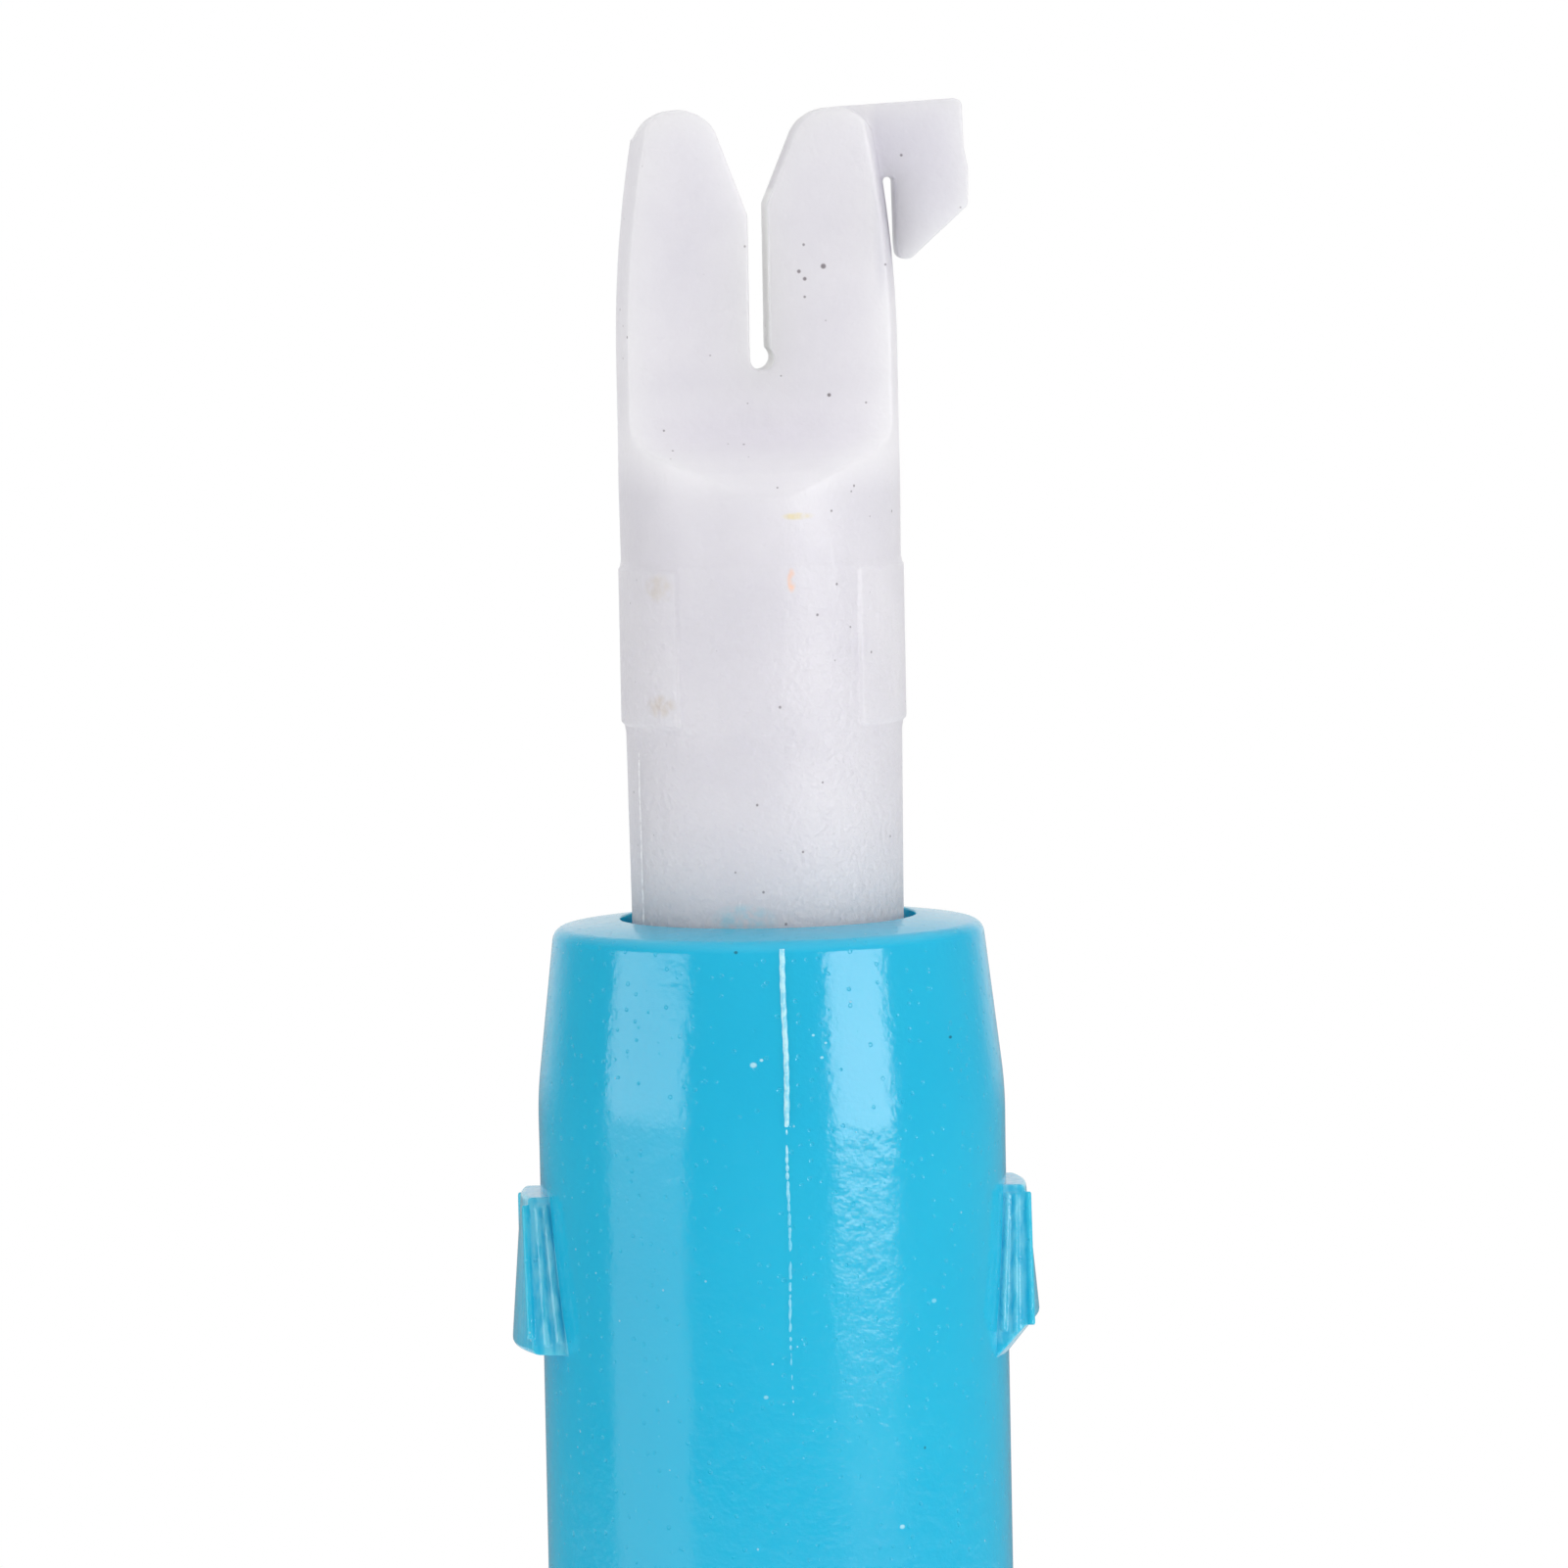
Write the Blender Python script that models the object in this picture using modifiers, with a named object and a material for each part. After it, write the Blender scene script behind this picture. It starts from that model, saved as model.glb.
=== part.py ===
"""Forked knot-tying hand tool: a moulded fork core in a sliding, turning, spring-returned sleeve.

The tool stands upright on its end cap. Z = 0 is the flat rear face and the tool's axis is the Z axis.
The blade's flats face -Y and +Y, its ear points to +X, and the sleeve's finger lugs are at -X and +X.
All sizes below are in millimetres; heights called "..._H" are above the sleeve's nose rim.
"""

import math

import bmesh
import bpy

MM = 0.001
NAME = "knot_tying_tool"

# Overall sizes
TOOL_R = 5.0              # sleeve, handle and end cap
SLEEVE_LENGTH = 47.7
HANDLE_LENGTH = 32.2
END_CAP_THICKNESS = 1.5
BLADE_TOP_H = 17.22       # prong tips above the nose rim

# Clearances
FACE_GAP = 0.3            # between faces that rest on each other
SEAT_GAP = 0.15           # around pressed and pinned pieces
SLEEVE_CLEARANCE = 0.28   # running gap between shank and bore
BUSH_CLEARANCE = 0.12     # running gap between stem and bush

# Fork core
SHANK_R = 2.93
SHANK_REACH = 20.0        # shank below the nose rim, down to the spring's shoulder
STEM_R = 1.9
STEM_INSERT = 20.0        # stem inside the handle
BLADE_SWELL = 0.07        # how far the blade's root stands out from the shank
BLADE_THICKNESS = 2.2
RAMP_TOP_H = 10.36        # where the flats begin
RAMP_LENGTH = 1.15        # length of the slope from the shank down to the flats
TAPER_START_H = 12.0
TIP_R = 2.49              # the blade's radius at the height of the prong tips
PRONG_TIP_R = 0.92
PRONG_TIP_X = 1.66        # centre of a tip's rounding from the axis
TIP_ARC_START = 22.0      # degrees above level, where a tip's rounding leaves the prong's outer side
TIP_ARC_END = 150.0       # where it runs into the notch's straight side
SLOT_WIDTH = 0.42
SLOT_MOUTH_H = 15.09
SLOT_MOUTH_SKEW = 0.13    # the notch's foot is this much lower at -X and higher at +X
SLOT_END_R = 0.26
SLOT_END_H = 11.93

# Ear on the prong at +X
EAR_THICKNESS = 1.3
EAR_REACH = 4.54          # outermost point from the axis
EAR_TOP_REACH = 4.45
EAR_RISE = 0.15           # how far its top corner stands above the prong tip
EAR_ROOT_H = 15.72        # underside of the bridge, the slit's closed end
EAR_SHOULDER_H = 15.15
EAR_TIP_H = 14.05
EAR_CORNER_R = 0.2
EAR_BEND = 0.6            # where its outer side bends inwards, above the slit's closed end
SLIT_WIDTH = 0.24         # at the closed end
SLIT_MOUTH_WIDTH = 0.1
SLIT_MOUTH_H = 14.4

# Guide pads at -X and +X of the shank
PAD_PROUD = 0.08
PAD_BOTTOM_H = 4.2
PAD_LENGTH = 3.3
PAD_HALF_ANGLE = 50.0     # degrees

# Sleeve
NOSE_R = 4.57
NOSE_LENGTH = 3.8
NOSE_FILLET = 0.28
RIM_CHAMFER = 0.05
RIM_FALL = 0.17           # how far the rim's face slopes down towards its outer edge
LUG_TOP_H = -5.8
LUG_ENDS_H = {1: (-8.6, -9.42), -1: (-9.05, -9.15)}  # start and end of the lower bevel at +X and -X
LUG_TOP_PROUD = 0.4
LUG_PROUD = 0.65
LUG_TOP_WIDTH = 2.3
LUG_BOTTOM_WIDTH = 3.8
LUG_ROOT = 0.6            # how deep a lug's root is sunk into the sleeve's wall
PAD_ROOT = 0.5            # how deep a guide pad's root is sunk into the shank

# Bush, snap ring, seat and spring
BUSH_WALL = 1.7
BUSH_LENGTH = 5.0
RING_THICKNESS = 0.8
RING_DEPTH = 0.5          # how far the ring's groove goes into the wall
RING_OPENING = 50.0       # degrees
TAIL_LENGTH = 1.2         # sleeve behind the ring's groove
SEAT_THICKNESS = 0.6
WIRE_R = 0.2
SPRING_TURNS = 9

# Handle, pin and end cap
GRIP_GROOVES = 7
GRIP_PITCH = 2.4
GRIP_WIDTH = 1.0
GRIP_DEPTH = 0.3
GRIP_START = 6.0          # lowest groove above the handle's rear face
EDGE_CHAMFER = 0.35
PIN_R = 0.75
PIN_FROM_FRONT = 10.0
PLUG_R = 2.85
PLUG_LENGTH = 7.0

SEGMENTS = 32
TURN_POINTS = 14          # points in each turn of the spring
MARGIN = 1.0              # how far a cutting shape reaches past what it cuts

# Heights worked out from the sizes above
HANDLE_Z = END_CAP_THICKNESS + FACE_GAP
HANDLE_TOP_Z = HANDLE_Z + HANDLE_LENGTH
SLEEVE_Z = HANDLE_TOP_Z + FACE_GAP
NOSE_Z = SLEEVE_Z + SLEEVE_LENGTH
SHOULDER_Z = NOSE_Z - SHANK_REACH
STEM_END_Z = HANDLE_TOP_Z - STEM_INSERT

# Radii worked out from the sizes above
BLADE_R = SHANK_R + BLADE_SWELL
PAD_R = SHANK_R + PAD_PROUD
BORE_R = SHANK_R + SLEEVE_CLEARANCE
BUSH_BORE_R = STEM_R + BUSH_CLEARANCE
BUSH_R = BUSH_BORE_R + BUSH_WALL
COUNTERBORE_R = BUSH_R + SEAT_GAP
GROOVE_R = COUNTERBORE_R + RING_DEPTH
SPRING_R = (STEM_R + BORE_R) / 2

# The stack at the sleeve's rear, from the bottom up
RING_GROOVE_Z = SLEEVE_Z + TAIL_LENGTH
RING_Z = RING_GROOVE_Z + SEAT_GAP
BUSH_Z = RING_Z + RING_THICKNESS + SEAT_GAP
BUSH_TOP_Z = BUSH_Z + BUSH_LENGTH
SEAT_Z = BUSH_TOP_Z + FACE_GAP
SEAT_TOP_Z = SEAT_Z + SEAT_THICKNESS


def clear_scene():
    for thing in list(bpy.data.objects):
        bpy.data.objects.remove(thing, do_unlink=True)


def collection(name):
    made = bpy.data.collections.new(name)
    bpy.context.scene.collection.children.link(made)
    return made


def material(name, colour, roughness, metallic=0.0):
    made = bpy.data.materials.new(name)
    made.use_nodes = True
    shader = made.node_tree.nodes["Principled BSDF"]
    shader.inputs["Base Color"].default_value = (*colour, 1.0)
    shader.inputs["Roughness"].default_value = roughness
    shader.inputs["Metallic"].default_value = metallic
    return made


def add_object(name, data, group, look=None):
    made = bpy.data.objects.new(name, data)
    group.objects.link(made)
    if look:
        data.materials.append(look)
    return made


def turned(name, profile, group, look=None, closed=True, angle=360.0):
    """Turns a profile of (radius, z) points, which runs down its outer side, about the Z axis."""
    mesh = bpy.data.meshes.new(name)
    shape = bmesh.new()
    points = [shape.verts.new((r * MM, 0.0, z * MM)) for r, z in profile]
    for start, end in zip(points, points[1:]):
        shape.edges.new((start, end))
    if closed:
        shape.edges.new((points[-1], points[0]))
    shape.to_mesh(mesh)
    shape.free()
    made = add_object(name, mesh, group, look)
    screw = made.modifiers.new("turn", "SCREW")
    screw.axis = "Z"
    screw.angle = math.radians(angle)
    screw.steps = SEGMENTS
    screw.render_steps = SEGMENTS
    screw.use_merge_vertices = True
    screw.merge_threshold = 0.00001
    return made


def arc(x, z, radius, start, end, steps):
    """Points from start to end degrees round (x, z), counted from +X towards +Z."""
    turns = [math.radians(start + (end - start) * i / steps) for i in range(steps + 1)]
    return [(x + radius * math.cos(t), z + radius * math.sin(t)) for t in turns]


def prism(name, outline, thickness, group, along="Y"):
    """A flat outline of (across, height) points, given thickness along Y (or X) and centred on the axis."""
    curve = bpy.data.curves.new(name + "_outline", "CURVE")
    curve.dimensions = "2D"
    curve.fill_mode = "BOTH"
    curve.extrude = thickness / 2 * MM
    spline = curve.splines.new("POLY")
    spline.points.add(len(outline) - 1)
    for point, (across, height) in zip(spline.points, outline):
        point.co = (across * MM, height * MM, 0.0, 1.0)
    spline.use_cyclic_u = True
    flat = bpy.data.objects.new(name + "_outline", curve)
    group.objects.link(flat)
    flat.rotation_euler = (math.pi / 2, 0.0, math.pi / 2 if along == "X" else 0.0)
    return solid_of_curve(flat, name, group)


def solid_of_curve(flat, name, group):
    """Makes a curve object a mesh object in its place, with its caps welded on."""
    bpy.context.view_layer.update()
    mesh = bpy.data.meshes.new_from_object(flat.evaluated_get(bpy.context.evaluated_depsgraph_get()))
    shape = bmesh.new()
    shape.from_mesh(mesh)
    bmesh.ops.remove_doubles(shape, verts=shape.verts, dist=0.000001)
    bmesh.ops.recalc_face_normals(shape, faces=shape.faces)
    shape.to_mesh(mesh)
    shape.free()
    made = add_object(name, mesh, group)
    made.matrix_world = flat.matrix_world
    bpy.data.objects.remove(flat)
    return made


def rod(name, radius, length, group, look=None):
    """A cylinder along X, centred on its origin."""
    mesh = bpy.data.meshes.new(name)
    shape = bmesh.new()
    bmesh.ops.create_cone(shape, cap_ends=True, segments=16, radius1=radius * MM,
                          radius2=radius * MM, depth=length * MM)
    shape.to_mesh(mesh)
    shape.free()
    made = add_object(name, mesh, group, look)
    made.rotation_euler = (0.0, math.pi / 2, 0.0)
    return made


def combine(target, other, operation):
    """Adds a Boolean to target; the other object becomes a guide that isn't a piece."""
    boolean = target.modifiers.new(operation.lower(), "BOOLEAN")
    boolean.operation = operation
    boolean.solver = "EXACT"
    boolean.object = other
    other.hide_render = True
    other.display_type = "WIRE"


def blade_radius(height):
    """The core's radius at a height above the nose rim: shank, swollen root, then the blade's taper."""
    if height <= RAMP_TOP_H - RAMP_LENGTH:
        return SHANK_R
    if height <= RAMP_TOP_H:
        return SHANK_R + BLADE_SWELL * (height - RAMP_TOP_H + RAMP_LENGTH) / RAMP_LENGTH
    if height <= TAPER_START_H:
        return BLADE_R
    share = (height - TAPER_START_H) / (BLADE_TOP_H - TAPER_START_H)
    return BLADE_R - (BLADE_R - TIP_R) * share ** 2


def core_profile():
    taper = [TAPER_START_H + (BLADE_TOP_H - TAPER_START_H) * i / 6 for i in range(7)]
    heights = sorted([*taper, RAMP_TOP_H, RAMP_TOP_H - RAMP_LENGTH], reverse=True)
    side = [(blade_radius(h), NOSE_Z + h) for h in heights]
    return [
        (0.0, NOSE_Z + BLADE_TOP_H),
        *side,
        (SHANK_R, SHOULDER_Z),
        (STEM_R, SHOULDER_Z),
        (STEM_R, STEM_END_Z + EDGE_CHAMFER),
        (STEM_R - EDGE_CHAMFER, STEM_END_Z),
        (0.0, STEM_END_Z),
    ]


def fork_outline():
    """Everything of the core that the slot, the notch and the rounded prong tips leave."""
    wide = EAR_REACH + MARGIN
    slot = SLOT_WIDTH / 2
    tip = arc(PRONG_TIP_X, BLADE_TOP_H - PRONG_TIP_R, PRONG_TIP_R, TIP_ARC_START, TIP_ARC_END, 8)
    prong = [(wide, tip[0][1] - MARGIN / 2), *tip]
    hole_x = SLOT_END_R - slot
    meet = math.degrees(math.acos((slot - hole_x) / SLOT_END_R))
    end_hole = arc(hole_x, SLOT_END_H, SLOT_END_R, meet, -180.0, 9)
    right = [*prong, (slot, SLOT_MOUTH_H + SLOT_MOUTH_SKEW), *end_hole]
    left = [(-slot, SLOT_MOUTH_H - SLOT_MOUTH_SKEW), *[(-x, h) for x, h in reversed(prong)]]
    bottom = STEM_END_Z - NOSE_Z - MARGIN
    return [(x, NOSE_Z + h) for x, h in [*right, *left, (-wide, bottom), (wide, bottom)]]


def ear_outline():
    """The ear, from inside the prong down the slit beside it, round the ear and back over its top."""
    top = BLADE_TOP_H + EAR_RISE
    root_r = blade_radius(EAR_ROOT_H)
    slit_x = root_r + SLIT_WIDTH
    mouth_x = blade_radius(SLIT_MOUTH_H) + SLIT_MOUTH_WIDTH
    shoulder_x = EAR_REACH - EAR_CORNER_R
    top_x = EAR_TOP_REACH - EAR_CORNER_R
    outline = [
        (PRONG_TIP_X, BLADE_TOP_H - PRONG_TIP_R),
        (root_r - SLIT_WIDTH, EAR_ROOT_H),
        (slit_x, EAR_ROOT_H),
        (mouth_x, SLIT_MOUTH_H),
        *arc(mouth_x + EAR_CORNER_R, EAR_TIP_H + EAR_CORNER_R, EAR_CORNER_R, 190.0, 310.0, 4),
        *arc(shoulder_x, EAR_SHOULDER_H + EAR_CORNER_R, EAR_CORNER_R, -50.0, 0.0, 2),
        (EAR_REACH, EAR_ROOT_H + EAR_BEND / 4),
        (EAR_TOP_REACH, EAR_ROOT_H + EAR_BEND),
        *arc(top_x, top - EAR_CORNER_R, EAR_CORNER_R, 0.0, 90.0, 3),
        (PRONG_TIP_X, BLADE_TOP_H),
    ]
    return [(x, NOSE_Z + h) for x, h in outline]


def relief_outline():
    """What is cut away in front of a blade flat, seen from the side: (distance from the axis, height)."""
    flat = BLADE_THICKNESS / 2
    far = BLADE_R + MARGIN
    slope = (SHANK_R - flat) / RAMP_LENGTH
    ramp_end = RAMP_TOP_H - (far - flat) / slope
    above = BLADE_TOP_H + MARGIN
    return [(y, NOSE_Z + h) for y, h in ((flat, above), (flat, RAMP_TOP_H), (far, ramp_end), (far, above))]


def make_fork_core(parts, cutters, look):
    core = turned("fork_core", core_profile(), parts, look, closed=False)
    for side in (-1, 1):
        outline = [(side * y, z) for y, z in relief_outline()]
        combine(core, prism(f"relief_{side}", outline, 4 * BLADE_R, cutters, along="X"), "DIFFERENCE")
    combine(core, prism("fork_guide", fork_outline(), 4 * BLADE_R, cutters), "INTERSECT")
    combine(core, prism("ear_guide", ear_outline(), EAR_THICKNESS, cutters), "UNION")
    combine(core, pad_guide(cutters), "UNION")
    pin_z = HANDLE_TOP_Z - PIN_FROM_FRONT
    hole = rod("stem_pin_hole", PIN_R + SEAT_GAP, 4 * STEM_R, cutters)
    hole.location.z = pin_z * MM
    combine(core, hole, "DIFFERENCE")
    return core


def pad_guide(cutters):
    """A ring round the shank, kept only at its two sides, for the guide pads."""
    low = NOSE_Z + PAD_BOTTOM_H
    high = low + PAD_LENGTH
    inner = SHANK_R - PAD_ROOT
    ring = turned("pad_guide", [(inner, high), (PAD_R, high), (PAD_R, low), (inner, low)], cutters)
    half_width = PAD_R * math.sin(math.radians(PAD_HALF_ANGLE))
    outline = [
        (-half_width, low - MARGIN),
        (half_width, low - MARGIN),
        (half_width, high + MARGIN),
        (-half_width, high + MARGIN),
    ]
    combine(ring, prism("pad_window", outline, 4 * PAD_R, cutters, along="X"), "INTERSECT")
    return ring


def sleeve_profile():
    """Closed: down the outer side, then up through tail, ring groove, counterbore and bore."""
    nose_foot = NOSE_Z - NOSE_LENGTH
    fillet = arc(NOSE_R - NOSE_FILLET, NOSE_Z - RIM_FALL - NOSE_FILLET, NOSE_FILLET, 80.0, 0.0, 3)
    return [
        *fillet,
        (TOOL_R, nose_foot),
        (TOOL_R, SLEEVE_Z + EDGE_CHAMFER),
        (TOOL_R - EDGE_CHAMFER, SLEEVE_Z),
        (COUNTERBORE_R, SLEEVE_Z),
        (COUNTERBORE_R, RING_GROOVE_Z),
        (GROOVE_R, RING_GROOVE_Z),
        (GROOVE_R, BUSH_Z),
        (COUNTERBORE_R, BUSH_Z),
        (COUNTERBORE_R, BUSH_TOP_Z + SEAT_GAP),
        (BORE_R, BUSH_TOP_Z + SEAT_GAP),
        (BORE_R, NOSE_Z - RIM_CHAMFER),
        (BORE_R + RIM_CHAMFER, NOSE_Z),
    ]


def lug_guide(cutters, side):
    """A stepped ring, kept only inside a window that widens downwards, for the finger lug at one side."""
    top = NOSE_Z + LUG_TOP_H
    knee, bottom = (NOSE_Z + h for h in LUG_ENDS_H[side])
    root = TOOL_R - LUG_ROOT
    profile = [
        (root, top),
        (TOOL_R + LUG_TOP_PROUD, top),
        (TOOL_R + LUG_PROUD, knee),
        (TOOL_R, bottom),
        (root, bottom),
    ]
    ring = turned(f"lug_guide_{side}", profile, cutters)
    outline = [
        (-LUG_TOP_WIDTH / 2, top + MARGIN),
        (-LUG_TOP_WIDTH / 2, top),
        (-LUG_BOTTOM_WIDTH / 2, knee),
        (-LUG_BOTTOM_WIDTH / 2, bottom - MARGIN),
    ]
    outline += [(-y, z) for y, z in reversed(outline)]
    window = prism(f"lug_window_{side}", outline, 2 * TOOL_R, cutters, along="X")
    window.location.x = side * TOOL_R * MM * 1.2
    combine(ring, window, "INTERSECT")
    return ring


def make_sleeve(parts, cutters, look, axis):
    sleeve = turned("sleeve", sleeve_profile(), parts, look)
    for side in LUG_ENDS_H:
        combine(sleeve, lug_guide(cutters, side), "UNION")
    sleeve.parent = axis
    return sleeve


def make_bush(parts, look, axis):
    profile = [(BUSH_BORE_R, BUSH_TOP_Z), (BUSH_R, BUSH_TOP_Z), (BUSH_R, BUSH_Z), (BUSH_BORE_R, BUSH_Z)]
    turned("guide_bush", profile, parts, look).parent = axis


def make_snap_ring(parts, cutters, look, axis):
    inner = COUNTERBORE_R - RING_DEPTH
    outer = GROOVE_R - SEAT_GAP
    top = RING_Z + RING_THICKNESS
    section = [(inner, top), (outer, top), (outer, RING_Z), (inner, RING_Z)]
    ring = turned("bush_snap_ring", section, parts, look)
    reach = 2 * GROOVE_R
    half = math.tan(math.radians(RING_OPENING / 2)) * reach
    low = RING_Z - MARGIN
    high = top + MARGIN
    mesh = bpy.data.meshes.new("ring_opening")
    wedge = bmesh.new()
    corners = ((0.0, 0.0), (half, reach), (-half, reach))
    face = wedge.faces.new([wedge.verts.new((x * MM, y * MM, low * MM)) for x, y in corners])
    lifted = bmesh.ops.extrude_face_region(wedge, geom=[face])["geom"]
    bmesh.ops.translate(wedge, vec=(0.0, 0.0, (high - low) * MM),
                        verts=[v for v in lifted if isinstance(v, bmesh.types.BMVert)])
    bmesh.ops.recalc_face_normals(wedge, faces=wedge.faces)
    wedge.to_mesh(mesh)
    wedge.free()
    combine(ring, add_object("ring_opening", mesh, cutters), "DIFFERENCE")
    ring.parent = axis


def make_spring_seat(parts, look):
    inner = STEM_R + BUSH_CLEARANCE
    outer = BORE_R - SEAT_GAP
    section = [(inner, SEAT_TOP_Z), (outer, SEAT_TOP_Z), (outer, SEAT_Z), (inner, SEAT_Z)]
    turned("spring_seat", section, parts, look)


def make_spring(parts, look):
    """One wire: a closed turn at each end and open turns between them."""
    low = SEAT_TOP_Z + FACE_GAP + WIRE_R
    high = SHOULDER_Z - FACE_GAP - WIRE_R
    dead = 2.2 * WIRE_R
    steps = SPRING_TURNS * TURN_POINTS
    curve = bpy.data.curves.new("return_spring", "CURVE")
    curve.dimensions = "3D"
    curve.bevel_depth = WIRE_R * MM
    curve.bevel_resolution = 2
    curve.use_fill_caps = True
    spline = curve.splines.new("POLY")
    spline.points.add(steps)
    for i, point in enumerate(spline.points):
        turn = i / TURN_POINTS
        if turn < 1:
            height = low + dead * turn
        elif turn > SPRING_TURNS - 1:
            height = high - dead * (SPRING_TURNS - turn)
        else:
            height = low + dead + (high - low - 2 * dead) * (turn - 1) / (SPRING_TURNS - 2)
        angle = turn * 2 * math.pi
        point.co = (SPRING_R * math.cos(angle) * MM, SPRING_R * math.sin(angle) * MM, height * MM, 1.0)
    add_object("return_spring", curve, parts, look)


def make_handle(parts, cutters, look):
    """Grip grooves down its outer side, then up through the plug's bore and the stem's bore."""
    bore = STEM_R + SEAT_GAP
    plug_bore = PLUG_R + SEAT_GAP
    plug_top = HANDLE_Z + PLUG_LENGTH + FACE_GAP
    side = []
    for i in reversed(range(GRIP_GROOVES)):
        low = HANDLE_Z + GRIP_START + i * GRIP_PITCH
        side += [
            (TOOL_R, low + GRIP_WIDTH),
            (TOOL_R - GRIP_DEPTH, low + GRIP_WIDTH * 0.75),
            (TOOL_R - GRIP_DEPTH, low + GRIP_WIDTH * 0.25),
            (TOOL_R, low),
        ]
    profile = [
        (TOOL_R - EDGE_CHAMFER, HANDLE_TOP_Z),
        (TOOL_R, HANDLE_TOP_Z - EDGE_CHAMFER),
        *side,
        (TOOL_R, HANDLE_Z),
        (plug_bore, HANDLE_Z),
        (plug_bore, plug_top),
        (bore, plug_top),
        (bore, HANDLE_TOP_Z),
    ]
    handle = turned("handle", profile, parts, look)
    hole = rod("handle_pin_hole", PIN_R + SEAT_GAP, 4 * TOOL_R, cutters)
    hole.location.z = (HANDLE_TOP_Z - PIN_FROM_FRONT) * MM
    combine(handle, hole, "DIFFERENCE")


def make_pin(parts, look):
    pin = rod("handle_pin", PIN_R, 2 * (TOOL_R - FACE_GAP), parts, look)
    pin.location.z = (HANDLE_TOP_Z - PIN_FROM_FRONT) * MM


def make_end_cap(parts, look):
    top = END_CAP_THICKNESS
    plug_top = top + PLUG_LENGTH
    profile = [
        (0.0, plug_top),
        (PLUG_R - EDGE_CHAMFER, plug_top),
        (PLUG_R, plug_top - EDGE_CHAMFER),
        (PLUG_R, top),
        (TOOL_R, top),
        (TOOL_R, EDGE_CHAMFER),
        (TOOL_R - EDGE_CHAMFER, 0.0),
        (0.0, 0.0),
    ]
    turned("end_cap", profile, parts, look, closed=False)


def main():
    clear_scene()
    parts = collection(NAME)
    cutters = collection(NAME + "_cutters")
    white = material("natural_plastic", (0.78, 0.76, 0.79), 0.35)
    blue = material("sky_blue_plastic", (0.03, 0.51, 0.76), 0.25)
    steel = material("steel", (0.6, 0.6, 0.62), 0.3, 1.0)
    sleeve_axis = bpy.data.objects.new("sleeve_axis", None)
    parts.objects.link(sleeve_axis)
    make_fork_core(parts, cutters, white)
    make_sleeve(parts, cutters, blue, sleeve_axis)
    make_bush(parts, white, sleeve_axis)
    make_snap_ring(parts, cutters, steel, sleeve_axis)
    make_spring_seat(parts, steel)
    make_spring(parts, steel)
    make_handle(parts, cutters, blue)
    make_pin(parts, steel)
    make_end_cap(parts, blue)


main()
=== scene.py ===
import math

import bpy
from mathutils import Matrix, Vector


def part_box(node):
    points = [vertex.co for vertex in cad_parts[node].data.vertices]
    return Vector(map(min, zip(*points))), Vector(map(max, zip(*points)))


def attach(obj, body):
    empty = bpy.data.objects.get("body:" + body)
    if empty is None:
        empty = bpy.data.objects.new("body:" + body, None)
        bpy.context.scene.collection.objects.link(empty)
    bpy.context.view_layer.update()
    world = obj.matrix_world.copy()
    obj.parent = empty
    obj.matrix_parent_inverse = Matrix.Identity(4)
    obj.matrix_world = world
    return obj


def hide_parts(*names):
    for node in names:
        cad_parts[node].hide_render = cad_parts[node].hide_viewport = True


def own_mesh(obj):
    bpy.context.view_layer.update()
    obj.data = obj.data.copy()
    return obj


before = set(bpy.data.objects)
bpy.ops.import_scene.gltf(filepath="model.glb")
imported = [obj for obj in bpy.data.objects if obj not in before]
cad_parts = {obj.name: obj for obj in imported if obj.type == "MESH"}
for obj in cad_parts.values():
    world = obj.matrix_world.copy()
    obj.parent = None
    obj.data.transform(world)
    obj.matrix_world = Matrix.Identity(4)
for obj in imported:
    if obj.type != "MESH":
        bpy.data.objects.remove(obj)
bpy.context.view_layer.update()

MM = 0.001
WELD = 0.001 * MM         # points this close are made one

# Places read from the construction, in mm. Heights called "..._H" are above the sleeve's nose rim.
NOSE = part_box("sleeve")[1].z / MM
SLEEVE_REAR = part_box("sleeve")[0].z / MM
HANDLE_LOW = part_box("handle")[0].z / MM
HANDLE_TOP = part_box("handle")[1].z / MM
TOOL_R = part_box("handle")[1].y / MM
STEM_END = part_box("fork_core")[0].z / MM
BLADE_TOP_H = 17.22
SHANK_R = 2.91
STEM_R = 1.9
BORE_R = 3.17
PAD_LOW_H = 4.2
PAD_HIGH_H = 7.5

# The studio
CAMERA_AZIMUTH = -3.7
CAMERA_ELEVATION = 4.15
CAMERA_ROLL = -1.13
LENS = 200.0
SENSOR = 36.0
VIEW_WIDTH = 33.56
AIM = (0.4, 0.0, NOSE + 2.8)
WORLD_DIM = 0.28          # the studio's brightness in front and below, behind, and overhead
WORLD_BACK = 0.9
WORLD_TOP = 1.05
LIGHT_DISTANCE = 0.35     # from the nose to each soft box, in metres


# ---------------------------------------------------------------- modelling helpers

def deselect():
    """Leaves edit mode and selects nothing."""
    if bpy.context.object and bpy.context.object.mode != "OBJECT":
        bpy.ops.object.mode_set(mode="OBJECT")
    bpy.ops.object.select_all(action="DESELECT")


def choose(piece):
    """Makes one piece the active one and the only one selected."""
    deselect()
    piece.select_set(True)
    bpy.context.view_layer.objects.active = piece


def named(name):
    """Names the object that was just made."""
    piece = bpy.context.object
    piece.name = piece.data.name = name
    return piece


def edit(piece):
    """Opens one piece in edit mode with all of it selected."""
    choose(piece)
    bpy.ops.object.mode_set(mode="EDIT")
    bpy.ops.mesh.select_all(action="SELECT")


def fill():
    """Joins the ends of the loop just drawn and fills it with one face."""
    bpy.ops.mesh.select_all(action="SELECT")
    bpy.ops.mesh.remove_doubles(threshold=WELD)
    bpy.ops.mesh.edge_face_add()


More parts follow.
